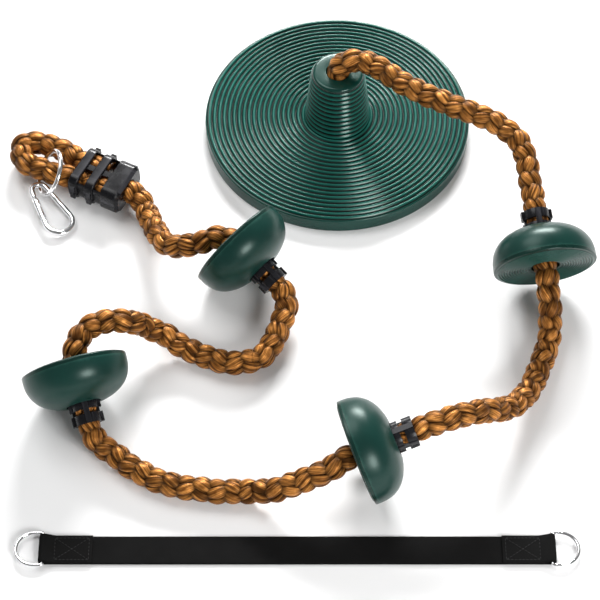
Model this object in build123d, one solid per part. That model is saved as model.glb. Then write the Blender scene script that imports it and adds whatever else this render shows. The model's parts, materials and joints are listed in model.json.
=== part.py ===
from build123d import *
import math
import os
from collections import namedtuple

# A climbing-rope swing laid out on the ground: a round ridged seat, four foot platforms clipped to
# a braided rope, a looped rope end in a clamp with a ring and a carabiner, and a hanging strap.
# Millimetres. +Z is up, the ground is z = 0, and the seat's axis is the Z axis.

# Rope
ROPE_R = 12.5
BORE_R = 12.55            # end clamp's lanes, one for each strand
ROPE_END_Z = 45.0         # cut end inside the hub
BEND_GAP = 14.5           # from a bend's pivot to the centre of each rounded rope end
BEND_STRAIGHT = 17.0      # straight rope on each side of a bend's pivot
NECK_R = 11.3             # rope squeezed inside a clip
PLATFORM_RUN = 71.0       # straight rope from a clip to its platform's flat face
LANE_START = 34.0         # where the rope settles into its lane, from the clamp's block end
TAIL_END = 31.0           # the rope's cut tail in the other lane, from the clamp's block end

# Seat
SEAT_R = 150.0
SEAT_RIM_Z = 17.0
SEAT_CROWN_Z = 21.0       # top of the disc where it meets the hub
SEAT_WALL = 4.0
SEAT_EDGE = 2.0           # rounding of the rim
SEAT_RIDGES = 20
SEAT_RIDGE_HEIGHT = 1.6
HUB_BASE_R = 36.0
HUB_TOP_R = 28.5
HUB_TOP_Z = 96.0
HUB_EDGE_R = 4.0
HUB_RIDGES = 11
HUB_RIDGE_HEIGHT = 0.9
HUB_ROOF = 6.0
HUB_BORE_R = 13.1
SEAT_RING_RIBS = (62.0, 104.0)
SEAT_SPOKES = 8
RIB_THICK = 3.0
RIB_BOTTOM_Z = 2.0
RIB_BURIED = 1.0          # how far the ribs reach into the disc
RIDGE_SLOPE = 0.25        # share of a ridge's width that each of its sides takes up

# Washer and stopper clip under the hub's roof
WASHER_R = 22.5
WASHER_THICK = 2.5
WASHER_GAP = 0.2          # play under the hub's roof

# Foot platforms, along their own axis: the flat face is at 0 and the dome reaches below it
PLATFORM_R = 55.5
PLATFORM_DEPTH = 43.5
PLATFORM_WALL = 3.5
PLATFORM_FULLNESS = 2.45  # exponent of the dome's outline: 2 is an ellipse
TREAD_THICK = 4.0
TREAD_RIDGES = 12
TREAD_RIDGE_HEIGHT = 0.6
TREAD_BORE_R = 15.5
TREAD_LIP = 5.0
TREAD_LIP_THICK = 2.5
TREAD_FIT = 0.3           # gap between the tread's lip and the dome's wall
TREAD_EDGE = 1.5          # rounding of the tread's outer edge
TREAD_BORDER = 3.0        # plain band outside and inside the ridges
DOME_BORE_R = 13.1
DOME_TUBE_R = 18.0
DOME_BACK_R = 22.0        # flat round the rope at the dome's back
DOME_STEPS = 14
RECESS_R = 18.5           # round recess for the clip in the dome's back
RECESS_DEPTH = 5.5

# Rope clips, along their own axis from the dome's back
CLIP_LENGTH = 25.0
CLIP_BAND = 10.0
CLIP_BORE_R = 11.35
CLIP_OUTER_R = 14.2
CLIP_EAR_X = 16.6
CLIP_EAR_THICK = 3.6
CLIP_SPLIT = 0.15         # half the gap between the two halves
CLIP_WEB = 6.0            # width of the web behind each half
CLIP_WEB_THICK = 3.0
CLIP_SIDE_WEB = 2.5
CLIP_TOOTH = 1.5
CLIP_TOOTH_WIDE = 2.0
CLIP_TOOTH_TALL = 1.6
CLIP_TOOTH_PITCH = 3.2
CLIP_TEETH = 3            # in each band
CLIP_NOTCH_PLAY = 0.3
CLIP_TO_PLATFORM = 0.5    # gap to the bottom of the dome's recess

# End clamp, along the rope's travel from its block to its first band
CLAMP_LENGTH = 62.0
CLAMP_HALF_WIDTH = 28.5
CLAMP_HALF_THICK = 16.5
CLAMP_CORNER = 11.0       # rounding of the section's corners
CLAMP_BLOCK = 22.0
CLAMP_WINDOW = 9.5
CLAMP_BAND = 10.5
CLAMP_RIB = 7.0
CLAMP_STEP = 2.2          # how far the bands and the block stand proud of the walls between them
CLAMP_END_WALL = 3.0
CLAMP_CHAMFER = 3.5       # round the block's outer end
CLAMP_BAND_CHAMFER = 0.8
CLAMP_SIDE_WALL = 4.5     # outside the windows
CLAMP_EAR_OUT = 2.5       # how far the bands' ears stand out on each side
CLAMP_EAR_TALL = 9.5      # half the ears' height
CLAMP_EAR_LONG = 6.0
CLAMP_EAR_SHIFT = 1.5     # from the band's middle towards the block
CLAMP_HOLE_PLAY = 0.4
LANE = 12.8               # each strand's offset from the clamp's centre line
LOOP_R = 17.4
LOOP_LENGTH = 61.0        # from the clamp to the start of the loop's turn
LOOP_SPREAD = 36.0        # length over which the loop's strands part

# Hanging ring and carabiner
RING_R = 25.2
RING_WIRE_R = 2.5
HOOK_WIRE_R = 3.25
HOOK_WIDE_R = 15.2
HOOK_NARROW_R = 8.4
HOOK_LENGTH = 46.0        # between the centres of the two arcs
GATE_R = 3.7
GATE_FROM = 0.24          # hinge and nose, as fractions of the left leg from its narrow end
GATE_TO = 0.76
GATE_GAP = 0.062          # from the nose pin and from the hinge pin to the wire's two ends
HINGE_GAP = 0.09
GATE_OVERHANG = 2.4
GATE_SLOT = 1.6           # half the slot's width
GATE_SLOT_DEPTH = 3.5     # from a pin towards the gate's middle
TONGUE = 1.4              # half the tongue's thickness
TONGUE_TIP_R = 2.3
HINGE_ROOT = -5.2         # from the hinge pin back into the wire's end
NOSE_ROOT = 4.2           # from the latch pin back into the wire's other end
GATE_PIN_R = 1.2
LATCH_PIN_R = 1.0
PIN_PLAY = 0.03
SPRING_PLAY = 0.1
LATCH_PLAY = 0.25
PIN_SHORT = 0.6           # how much shorter a pin is than the gate is thick
SPRING_R = 1.5
SPRING_WIRE_R = 0.3
SPRING_PITCH = 1.5
SPRING_LENGTH = 9.0
SPRING_BORE_R = 2.0
SPRING_BORE = 10.0

# Hanging strap
STRAP_Y = -556.0
STRAP_WIDTH = 32.0
STRAP_THICK = 2.2
STRAP_LEFT_X = -306.0
STRAP_RIGHT_X = 216.0
STRAP_SEWN = 50.0
EYE_R = 2.15
D_WIRE_R = 2.0
D_ARC_R = 18.5
D_ARM = 8.8
D_CORNER_R = 2.5
FOLD_GAP = 0.1            # half the gap between the strap's two halves
EYE_SLOPE = 20.0          # degrees at which the webbing leaves the eye for its lap

UP = (Align.CENTER, Align.CENTER, Align.MIN)
LEFT_END = (Align.MIN, Align.CENTER, Align.CENTER)
CLIP_START = RECESS_DEPTH - PLATFORM_DEPTH - CLIP_TO_PLATFORM - CLIP_LENGTH
WASHER_Z = HUB_TOP_Z - HUB_ROOF - WASHER_GAP - WASHER_THICK
STOPPER_Z = WASHER_Z - CLIP_LENGTH

Station = namedtuple("Station", "place along before after is_bend")
Frame = namedtuple("Frame", "place along")


def direction(heading, climb):
    """Unit vector for a compass heading from +X towards +Y and a climb, in degrees."""
    turn = math.radians(heading)
    rise = math.radians(climb)
    level = math.cos(rise)
    return Vector(level * math.cos(turn), level * math.sin(turn), math.sin(rise))


def waypoint(x, y, z, heading, climb=0.0):
    return Station(Vector(x, y, z), direction(heading, climb), 0.0, 0.0, False)


def bend(x, y, z, heading, climb=0.0):
    place = Vector(x, y, z)
    return Station(place, direction(heading, climb), BEND_STRAIGHT, BEND_STRAIGHT, True)


def bend_before(frame, distance):
    """A bend on a platform's axis, on the clip's side of it."""
    place = frame.place - frame.along * distance
    return Station(place, frame.along, BEND_STRAIGHT, BEND_STRAIGHT, True)


def platform_run(frame):
    """The rope's straight run through a platform and its clip."""
    return Station(frame.place, frame.along, PLATFORM_RUN, -TREAD_LIP, False)


# Where each platform's flat face is, and the way it looks: away from the seat, along the rope.
PLATFORMS = [
    Frame(Vector(219.5, -241.5, 57), direction(-82, -16.6)),
    Frame(Vector(14.6, -476, 58), direction(196, -14.5)),
    Frame(Vector(-276.8, -368.5, 57), direction(107.3, 25.2)),
    Frame(Vector(-112, -207.6, 57), direction(137.4, 19.8)),
]
CLAMP = Frame(Vector(-232, -110, 22), direction(153.5, 0))
BENDS = {
    "bend_1": bend_before(PLATFORMS[0], 108.0),
    "bend_2": bend(211.5, -341.5, 16.5, -110, 8),
    "bend_3": bend(-40, -497, 39, 189, -24.5),
    "turn_1": bend(-142.5, -491.5, 13, 172),
    "turn_2": bend(-143.5, -328, 15.5, -22.5, -2),
    "bend_4": bend(-64.5, -295, 20, 69, 9),
    "bend_5": bend(-204, -160, 25.5, 109, -18),
}
RING_PLACE = Vector(-321.42, -86.32, 23.73)
RING_AXIS = direction(8.31, -32.77)
HOOK_PLACE = Vector(-309.33, -141.44, 6.29)
HOOK_ALONG = direction(121.07, 6.36)
HOOK_ROLL = -4.64


# Rope


def curve(start, start_along, end, end_along):
    """Two tangent arcs from start to end that leave and arrive along the given directions."""
    gap = end - start
    turn = start_along + end_along
    spread = 2 * (1 - start_along.dot(end_along))
    along_gap = gap.dot(turn)
    if spread < 1e-6:
        reach = gap.dot(gap) / (2 * along_gap)
    else:
        reach = (math.sqrt(along_gap**2 + spread * gap.dot(gap)) - along_gap) / spread
    first_corner = start + start_along * reach
    last_corner = end - end_along * reach
    middle = (first_corner + last_corner) * 0.5
    middle_along = (last_corner - first_corner).normalized()
    return [arc_or_line(start, start_along, middle), arc_or_line(middle, middle_along, end)]


def arc_or_line(start, along, end):
    straightness = along.cross((end - start).normalized()).length
    if straightness < 1e-4:
        return Edge.make_line(start, end)
    return Edge.make_tangent_arc(start, along, end)


def first_point(station):
    return station.place + station.along * (BEND_GAP if station.is_bend else 0)


def last_point(station):
    return station.place - station.along * (BEND_GAP if station.is_bend else 0)


def rope_edges(stations):
    """Straight runs at the stations, joined by pairs of arcs."""
    edges = []
    here = first_point(stations[0])
    for near, far in zip(stations, stations[1:]):
        leave = near.place + near.along * near.after
        arrive = far.place - far.along * far.before
        if (leave - here).length > 1e-3:
            edges.append(Edge.make_line(here, leave))
        edges += curve(leave, near.along, arrive, far.along)
        here = arrive
    last = last_point(stations[-1])
    if (last - here).length > 1e-3:
        edges.append(Edge.make_line(here, last))
    return edges


def rope_length(edges, first=None, last=None):
    """Round rope along the edges, with a rounded end at each bend it meets."""
    path = Wire(edges)
    start = edges[0] @ 0
    along = edges[0] % 0
    body = sweep(Plane(start, z_dir=along) * Circle(ROPE_R), path=path)
    for station, outward in ((first, -1), (last, 1)):
        if station is None or not station.is_bend:
            continue
        place = first_point(station) if outward < 0 else last_point(station)
        cap = Plane(place, z_dir=station.along * outward) * Sphere(ROPE_R, arc_size1=0, align=UP)
        body += cap
    return body


def rope_between(*stations):
    return rope_length(rope_edges(stations), stations[0], stations[-1])


def necked(rope, plane):
    """The rope squeezed where a clip starts at the plane and runs along its normal."""
    squeeze = Cylinder(ROPE_R + 1, CLIP_LENGTH, align=UP) - Cylinder(NECK_R, CLIP_LENGTH, align=UP)
    return rope - plane * squeeze


def loop_edges():
    """From the clamp's block, round the loop and back to the rope's tail inside the clamp."""
    side = Vector(0, 0, -1).cross(CLAMP.along)

    def spot(x, y):
        return CLAMP.place + CLAMP.along * x + side * y

    ahead = CLAMP.along
    turn_x = CLAMP_LENGTH + LOOP_LENGTH
    spread_x = CLAMP_LENGTH + 1
    edges = curve(spot(0, 0), ahead, spot(LANE_START, -LANE), ahead)
    edges.append(Edge.make_line(spot(LANE_START, -LANE), spot(spread_x, -LANE)))
    parted_x = spread_x + LOOP_SPREAD
    edges += curve(spot(spread_x, -LANE), ahead, spot(parted_x, -LOOP_R), ahead)
    edges.append(Edge.make_line(spot(parted_x, -LOOP_R), spot(turn_x, -LOOP_R)))
    far_end = spot(turn_x + LOOP_R, 0)
    edges.append(Edge.make_three_point_arc(spot(turn_x, -LOOP_R), far_end, spot(turn_x, LOOP_R)))
    edges.append(Edge.make_line(spot(turn_x, LOOP_R), spot(parted_x, LOOP_R)))
    edges += curve(spot(parted_x, LOOP_R), -ahead, spot(spread_x, LANE), -ahead)
    edges.append(Edge.make_line(spot(spread_x, LANE), spot(TAIL_END, LANE)))
    return edges


def rope_nodes():
    runs = [platform_run(frame) for frame in PLATFORMS]
    hub_run = HUB_TOP_Z + 1 - ROPE_END_Z
    hub_end = Station(Vector(0, 0, ROPE_END_Z), Vector(0, 0, 1), 0, hub_run, False)
    over_hub = waypoint(50, -18, 118, -42, -5)
    towards_edge = waypoint(152, -74, 109, -21, -5.5)
    on_ground_2 = waypoint(-110.5, -494, 13.2, 181)
    on_ground_3 = waypoint(-230.5, -454, 16.5, 138, 2)
    arch = waypoint(-241, -320, 68.5, 5, -4)
    under_arch = waypoint(-185, -309, 26.5, -17, -20.5)
    on_ground_4 = waypoint(-102.5, -337, 16.5, 3)
    after_platform_4 = waypoint(-174, -205.5, 45.5, 164, -22)
    clamp_in = Station(CLAMP.place, CLAMP.along, 1.0, 0, False)

    loop_in = rope_edges([BENDS["bend_5"], clamp_in])
    nodes = {
        "rope_at_seat": rope_between(hub_end, over_hub, towards_edge, BENDS["bend_1"]),
        "rope_at_platform_1": rope_between(BENDS["bend_1"], runs[0], BENDS["bend_2"]),
        "rope_at_platform_2": rope_between(BENDS["bend_2"], runs[1], BENDS["bend_3"]),
        "rope_between_2_and_3": rope_between(BENDS["bend_3"], on_ground_2, BENDS["turn_1"]),
        "rope_at_platform_3": rope_between(
            BENDS["turn_1"], on_ground_3, runs[2], arch, under_arch, BENDS["turn_2"]
        ),
        "rope_between_3_and_4": rope_between(BENDS["turn_2"], on_ground_4, BENDS["bend_4"]),
        "rope_at_platform_4": rope_between(
            BENDS["bend_4"], runs[3], after_platform_4, BENDS["bend_5"]
        ),
        "rope_loop": rope_length(loop_in + loop_edges(), BENDS["bend_5"]),
    }
    nodes["rope_at_seat"] = necked(nodes["rope_at_seat"], Plane(origin=(0, 0, STOPPER_Z)))
    for number, frame in enumerate(PLATFORMS, start=1):
        name = f"rope_at_platform_{number}"
        nodes[name] = necked(nodes[name], platform_plane(frame, CLIP_START))
    return nodes


# Seat


def lines(corners):
    return [Edge.make_line(near, far) for near, far in zip(corners, corners[1:])]


def ridged_line(start, end, count, height):
    """A row of flat-topped ridges from start to end, standing out to the left of the way there."""
    step = (end - start) * (1 / count)
    out = Vector(-step.Y, step.X, 0).normalized() * height
    corners = [start]
    for index in range(count):
        near = start + step * index
        corners.append(near + step * RIDGE_SLOPE + out)
        corners.append(near + step * (1 - RIDGE_SLOPE) + out)
        corners.append(near + step)
    return lines(corners)


def turned(edges):
    """A solid of revolution about Z from edges drawn with X as the radius and Y as the height."""
    face = Plane.XZ * Face(Wire(edges))
    return revolve(face, axis=Axis.Z)


def seat_disc():
    roof_z = HUB_TOP_Z - HUB_ROOF
    hub_side = Vector(HUB_TOP_R, HUB_TOP_Z - HUB_EDGE_R)
    hub_edge = Vector(HUB_TOP_R - HUB_EDGE_R, HUB_TOP_Z)
    hub_base = Vector(HUB_BASE_R, SEAT_CROWN_Z)
    rim_top = Vector(SEAT_R - SEAT_EDGE, SEAT_RIM_Z)
    rim_side = Vector(SEAT_R, SEAT_RIM_Z - SEAT_EDGE)
    skirt_r = SEAT_R - SEAT_WALL
    roof_edge = Vector(HUB_BORE_R, roof_z)
    edges = lines([roof_edge, Vector(HUB_BORE_R, HUB_TOP_Z), hub_edge])
    edges.append(Edge.make_tangent_arc(hub_edge, Vector(1, 0), hub_side))
    edges += ridged_line(hub_side, hub_base, HUB_RIDGES, HUB_RIDGE_HEIGHT)
    edges += ridged_line(hub_base, rim_top, SEAT_RIDGES, SEAT_RIDGE_HEIGHT)
    edges.append(Edge.make_tangent_arc(rim_top, Vector(1, 0), rim_side))
    edges += lines([
        rim_side,
        Vector(SEAT_R, 0),
        Vector(skirt_r, 0),
        Vector(skirt_r, SEAT_RIM_Z - SEAT_WALL),
        Vector(HUB_BASE_R - SEAT_WALL, SEAT_CROWN_Z - SEAT_WALL),
        Vector(HUB_TOP_R - SEAT_WALL, roof_z),
        roof_edge,
    ])
    return turned(edges) + seat_ribs()


def seat_ribs():
    """Ring ribs and spokes under the disc, buried a little in its underside."""
    ribs = []
    for radius in SEAT_RING_RIBS:
        height = rib_height(radius)
        outer = Cylinder(radius + RIB_THICK / 2, height, align=UP)
        inner = Cylinder(radius - RIB_THICK / 2, height, align=UP)
        ribs.append(Pos(0, 0, RIB_BOTTOM_Z) * (outer - inner))
    inner_r = HUB_BASE_R - SEAT_WALL + RIB_BURIED
    outer_r = SEAT_R - SEAT_WALL + RIB_BURIED
    spoke = Box(outer_r - inner_r, RIB_THICK, rib_height(outer_r), align=UP)
    for index in range(SEAT_SPOKES):
        turn = Rot(0, 0, 360 / SEAT_SPOKES * index)
        ribs.append(turn * Pos((inner_r + outer_r) / 2, 0, RIB_BOTTOM_Z) * spoke)
    return fused(ribs)


def rib_height(radius):
    """From the ribs' bottom to a little inside the disc's underside at this radius."""
    share = (radius - HUB_BASE_R) / (SEAT_R - HUB_BASE_R)
    underside = SEAT_CROWN_Z - (SEAT_CROWN_Z - SEAT_RIM_Z) * share - SEAT_WALL
    return underside + RIB_BURIED - RIB_BOTTOM_Z


def fused(shapes):
    whole = shapes[0]
    for shape in shapes[1:]:
        whole += shape
    return whole


def hub_washer():
    hole = Cylinder(HUB_BORE_R, WASHER_THICK, align=UP)
    return Pos(0, 0, WASHER_Z) * (Cylinder(WASHER_R, WASHER_THICK, align=UP) - hole)


# Foot platforms


def dome_outline(radius, depth):
    """Points on the dome's full-shouldered outline, from its rim down to its flat back."""
    points = []
    end_angle = math.acos((DOME_BACK_R / radius) ** (PLATFORM_FULLNESS / 2))
    for index in range(DOME_STEPS + 1):
        angle = end_angle * index / DOME_STEPS
        r = radius * math.cos(angle) ** (2 / PLATFORM_FULLNESS)
        fall = depth * math.sin(angle) ** (2 / PLATFORM_FULLNESS)
        points.append(Vector(r, -TREAD_THICK - fall))
    return points


def platform_dome():
    rim_z = -TREAD_THICK
    depth = PLATFORM_DEPTH - TREAD_THICK
    outer = dome_outline(PLATFORM_R, depth)
    inner = dome_outline(PLATFORM_R - PLATFORM_WALL, depth - PLATFORM_WALL)
    back_z = outer[-1].Y
    recess_z = back_z + RECESS_DEPTH
    ceiling_z = recess_z + PLATFORM_WALL
    edges = [Edge.make_spline(outer)]
    edges += lines([
        outer[-1],
        Vector(RECESS_R, back_z),
        Vector(RECESS_R, recess_z),
        Vector(DOME_BORE_R, recess_z),
        Vector(DOME_BORE_R, ceiling_z),
        Vector(TREAD_BORE_R, ceiling_z),
        Vector(TREAD_BORE_R, rim_z),
        Vector(DOME_TUBE_R, rim_z),
        Vector(DOME_TUBE_R, ceiling_z),
        Vector(DOME_BACK_R, ceiling_z),
        inner[-1],
    ])
    edges.append(Edge.make_spline(inner[::-1]))
    edges.append(Edge.make_line(inner[0], outer[0]))
    return turned(edges)


def platform_tread():
    lip_r = PLATFORM_R - PLATFORM_WALL - TREAD_FIT
    lip_inner_r = lip_r - TREAD_LIP_THICK
    lip_end = -TREAD_THICK - TREAD_LIP
    ridge_out = Vector(PLATFORM_R - TREAD_BORDER, 0)
    ridge_in = Vector(TREAD_BORE_R + TREAD_BORDER, 0)
    side_top = Vector(PLATFORM_R, -TREAD_EDGE)
    edge_end = Vector(PLATFORM_R - TREAD_EDGE, 0)
    edges = ridged_line(ridge_out, ridge_in, TREAD_RIDGES, -TREAD_RIDGE_HEIGHT)
    edges += lines([
        ridge_in,
        Vector(TREAD_BORE_R, 0),
        Vector(TREAD_BORE_R, -TREAD_THICK),
        Vector(lip_inner_r, -TREAD_THICK),
        Vector(lip_inner_r, lip_end),
        Vector(lip_r, lip_end),
        Vector(lip_r, -TREAD_THICK),
        Vector(PLATFORM_R, -TREAD_THICK),
        side_top,
    ])
    edges.append(Edge.make_tangent_arc(side_top, Vector(0, 1), edge_end))
    edges.append(Edge.make_line(edge_end, ridge_out))
    return turned(edges)


# Rope clips


def clip_half(teeth_shift):
    """One half of a clip, on the +Y side of its split: two bands, three webs and toothed ears."""
    ring = Cylinder(CLIP_OUTER_R, CLIP_LENGTH, align=UP)
    between_bands = CLIP_LENGTH - 2 * CLIP_BAND
    window = Pos(0, 0, CLIP_BAND) * Cylinder(CLIP_OUTER_R + 1, between_bands, align=UP)
    web_y = CLIP_OUTER_R - CLIP_WEB_THICK / 2
    back_web = Pos(0, web_y, 0) * Box(CLIP_WEB, CLIP_WEB_THICK, CLIP_LENGTH, align=UP)
    side_web = Box(2 * CLIP_OUTER_R, CLIP_SIDE_WEB, CLIP_LENGTH, align=UP)
    side_web = Pos(0, CLIP_SIDE_WEB / 2, 0) * side_web
    ear = Box(2 * CLIP_EAR_X, CLIP_EAR_THICK, CLIP_BAND, align=UP)
    low_ear = Pos(0, CLIP_EAR_THICK / 2, 0) * ear
    high_ear = Pos(0, 0, CLIP_LENGTH - CLIP_BAND) * low_ear
    body = ring - window + back_web + side_web + low_ear + high_ear
    body -= Cylinder(CLIP_BORE_R, CLIP_LENGTH, align=UP)
    other_side = Box(4 * CLIP_EAR_X, 2 * CLIP_EAR_X, CLIP_LENGTH, align=UP)
    body -= Pos(0, CLIP_SPLIT - CLIP_EAR_X, 0) * other_side
    return body - clip_notches(teeth_shift) + clip_teeth(teeth_shift)


def clip_rows(shift):
    """Heights of the teeth in both bands; the other half's teeth sit half a pitch away."""
    first = CLIP_TOOTH_PITCH * (0.5 + shift)
    rows = []
    for band_z in (0, CLIP_LENGTH - CLIP_BAND):
        for index in range(CLIP_TEETH):
            above_band = first + CLIP_TOOTH_PITCH * index
            if above_band < CLIP_BAND - CLIP_TOOTH / 2:
                rows.append(band_z + above_band)
    return rows


def beside_ears(shape, x, y, shift):
    """Copies of a shape at each tooth's height, on both ears."""
    return [Pos(side * x, y, z) * shape for z in clip_rows(shift) for side in (-1, 1)]


def clip_teeth(shift):
    tooth = Box(CLIP_TOOTH_WIDE, CLIP_TOOTH_TALL, CLIP_TOOTH)
    x = CLIP_EAR_X - CLIP_TOOTH_WIDE / 2 - 0.5
    return beside_ears(tooth, x, CLIP_SPLIT - 0.6, shift)


def clip_notches(shift):
    """Notches that leave room for the teeth of the other half."""
    width = CLIP_TOOTH_WIDE + 1
    notch = Box(width, 2 * CLIP_TOOTH_TALL + CLIP_NOTCH_PLAY, CLIP_TOOTH + CLIP_NOTCH_PLAY)
    return beside_ears(notch, CLIP_EAR_X - width / 2 + 0.5, 0, 0.5 - shift)


def clip_halves():
    return clip_half(0), Rot(0, 0, 180) * clip_half(0.5)


# End clamp


def clamp_bar(section, from_x, to_x):
    """A section, its X across the clamp, drawn out along the clamp."""
    plane = Plane(origin=(from_x, 0, 0), x_dir=(0, 1, 0), z_dir=(1, 0, 0))
    return extrude(plane * section, amount=to_x - from_x)


def clamp_section(inset=0.0):
    width = 2 * (CLAMP_HALF_WIDTH - inset)
    thickness = 2 * (CLAMP_HALF_THICK - inset)
    return RectangleRounded(width, thickness, CLAMP_CORNER - inset)


def clamp_whole():
    """Block and bands joined by lower walls, hollowed for the two strands."""
    whole = clamp_block() + clamp_bar(clamp_section(CLAMP_STEP), CLAMP_BLOCK - 1, CLAMP_LENGTH - 1)
    for band_x in clamp_bands():
        whole += clamp_band(band_x)
    lanes = SlotOverall(2 * (LANE + BORE_R), 2 * BORE_R)
    whole -= clamp_bar(lanes, CLAMP_END_WALL, CLAMP_LENGTH)
    whole -= Rot(0, 90, 0) * Cylinder(BORE_R + CLAMP_HOLE_PLAY, 3 * CLAMP_END_WALL)
    for window in clamp_windows():
        whole -= window
    return whole


def clamp_bands():
    """Where each band starts, along the clamp."""
    first = CLAMP_BLOCK + CLAMP_WINDOW
    return first, first + CLAMP_BAND + CLAMP_WINDOW


def clamp_band(band_x):
    """A band with bevelled edges and an ear on each side."""
    band = clamp_bar(clamp_section(), band_x, band_x + CLAMP_BAND)
    ends = band.edges().group_by(Axis.X)
    band = chamfer(ends[0] + ends[-1], CLAMP_BAND_CHAMFER)
    ear_width = 2 * (CLAMP_HALF_WIDTH + CLAMP_EAR_OUT)
    ears = Box(CLAMP_EAR_LONG, ear_width, 2 * CLAMP_EAR_TALL)
    return band + Pos(band_x + CLAMP_BAND / 2 - CLAMP_EAR_SHIFT, 0, 0) * ears


def clamp_block():
    """The solid-looking end, bevelled where the rope goes in."""
    block = clamp_bar(clamp_section(), 0, CLAMP_BLOCK)
    block = chamfer(block.edges().group_by(Axis.X)[0], CLAMP_CHAMFER)
    return chamfer(block.edges().group_by(Axis.X)[-1], CLAMP_BAND_CHAMFER)


def clamp_windows():
    """Openings between the bands, on both sides of the centre rib and through both faces."""
    inner_y = CLAMP_RIB / 2
    outer_y = CLAMP_HALF_WIDTH - CLAMP_SIDE_WALL
    slot = Box(CLAMP_WINDOW, outer_y - inner_y, 4 * CLAMP_HALF_THICK)
    windows = []
    for band_x in clamp_bands():
        for side in (-1, 1):
            x = band_x - CLAMP_WINDOW / 2
            windows.append(Pos(x, side * (inner_y + outer_y) / 2, 0) * slot)
    return windows


def clamp_half(side):
    keep = Box(2 * CLAMP_LENGTH, 4 * CLAMP_HALF_WIDTH, 2 * CLAMP_HALF_THICK, align=UP)
    if side < 0:
        keep = Rot(180, 0, 0) * keep
    return clamp_whole() & Pos(0, 0, side * CLIP_SPLIT / 2) * keep


# Ring and carabiner


def hanging_ring():
    return Plane(RING_PLACE, z_dir=RING_AXIS) * Torus(RING_R, RING_WIRE_R)


def hook_plane():
    """Carabiner frame: the wide arc's centre, X to the right of the way to the narrow arc."""
    right = HOOK_ALONG.cross(Vector(0, 0, 1)).normalized()
    up = right.cross(HOOK_ALONG)
    roll = math.radians(HOOK_ROLL)
    x_dir = right * math.cos(roll) + up * math.sin(roll)
    return Plane(HOOK_PLACE, x_dir=x_dir, z_dir=x_dir.cross(HOOK_ALONG))


def leg_lean():
    """How far each leg leans in from the wide arc to the narrow one, in radians."""
    return math.asin((HOOK_WIDE_R - HOOK_NARROW_R) / HOOK_LENGTH)


def left_leg():
    """The left leg's straight stretch, from the narrow arc to the wide one."""
    lean = leg_lean()
    out = Vector(-math.cos(lean), math.sin(lean))
    return Vector(0, HOOK_LENGTH) + out * HOOK_NARROW_R, out * HOOK_WIDE_R


def hook_point(share):
    top, bottom = left_leg()
    return top + (bottom - top) * share


def leg_plane(share):
    """Origin on the left leg, X along it towards the nose, Z across the carabiner's plane."""
    top, bottom = left_leg()
    along = (bottom - top).normalized()
    return Plane(hook_point(share), x_dir=along, z_dir=(0, 0, 1))


def mirrored(point):
    return Vector(-point.X, point.Y)


def carabiner_body():
    """Bent wire from the nose, round the wide arc, up the right leg and over to the hinge."""
    top, bottom = left_leg()
    nose = hook_point(GATE_TO + GATE_GAP)
    hinge = hook_point(GATE_FROM - HINGE_GAP)
    wide_end = Vector(0, -HOOK_WIDE_R)
    narrow_end = Vector(0, HOOK_LENGTH + HOOK_NARROW_R)
    edges = [
        Edge.make_line(nose, bottom),
        Edge.make_three_point_arc(bottom, wide_end, mirrored(bottom)),
        Edge.make_line(mirrored(bottom), mirrored(top)),
        Edge.make_three_point_arc(mirrored(top), narrow_end, top),
        Edge.make_line(top, hinge),
    ]
    wire = sweep(Plane(nose, z_dir=edges[0] % 0) * Circle(HOOK_WIRE_R), path=Wire(edges))
    hinge_tongue = leg_plane(GATE_FROM) * tongue(HINGE_ROOT)
    nose_tongue = leg_plane(GATE_TO) * tongue(NOSE_ROOT)
    catch = leg_plane(GATE_TO) * catch_slot()
    pin_hole = leg_plane(GATE_FROM) * Cylinder(GATE_PIN_R + PIN_PLAY, 4 * TONGUE)
    return wire + hinge_tongue + nose_tongue - catch - pin_hole


def tongue(root_x):
    """A flat tongue with a round end at the pin, rooted in the wire's end."""
    bar = Pos(root_x / 2, 0, 0) * Box(abs(root_x), 2 * TONGUE_TIP_R, 2 * TONGUE)
    return bar + Cylinder(TONGUE_TIP_R, 2 * TONGUE)


def catch_slot():
    """Open towards the inside of the hook, so that the latch pin can swing out of it."""
    radius = LATCH_PIN_R + LATCH_PLAY
    reach = 2 * HOOK_WIRE_R
    mouth = Pos(0, reach / 2, 0) * Box(2 * radius, reach, 4 * TONGUE)
    return Cylinder(radius, 4 * TONGUE) + mouth


def gate_slot(start, length):
    return Pos(start, 0, 0) * Box(length, 4 * GATE_R, 2 * GATE_SLOT, align=LEFT_END)


def carabiner_gate():
    """A round bar slotted at both ends over the body's tongues, with a ball end at its hinge."""
    length = (hook_point(GATE_TO) - hook_point(GATE_FROM)).length
    along = Rot(0, 90, 0)
    gate = along * Cylinder(GATE_R, length + GATE_OVERHANG, align=UP) + Sphere(GATE_R)
    gate -= gate_slot(-2 * GATE_R, 2 * GATE_R + GATE_SLOT_DEPTH)
    gate -= gate_slot(length - GATE_SLOT_DEPTH, GATE_SLOT_DEPTH + 2 * GATE_OVERHANG)
    gate -= Cylinder(GATE_PIN_R, 4 * GATE_R)
    gate -= Pos(length, 0, 0) * Cylinder(LATCH_PIN_R, 4 * GATE_R)
    gate -= Pos(GATE_SLOT_DEPTH, 0, 0) * along * Cylinder(SPRING_BORE_R, SPRING_BORE, align=UP)
    return leg_plane(GATE_FROM) * gate


def cross_pin(share, radius):
    """A pin across the gate, a little shorter than the gate is thick."""
    return leg_plane(share) * Cylinder(radius, 2 * GATE_R - PIN_SHORT)


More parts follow.
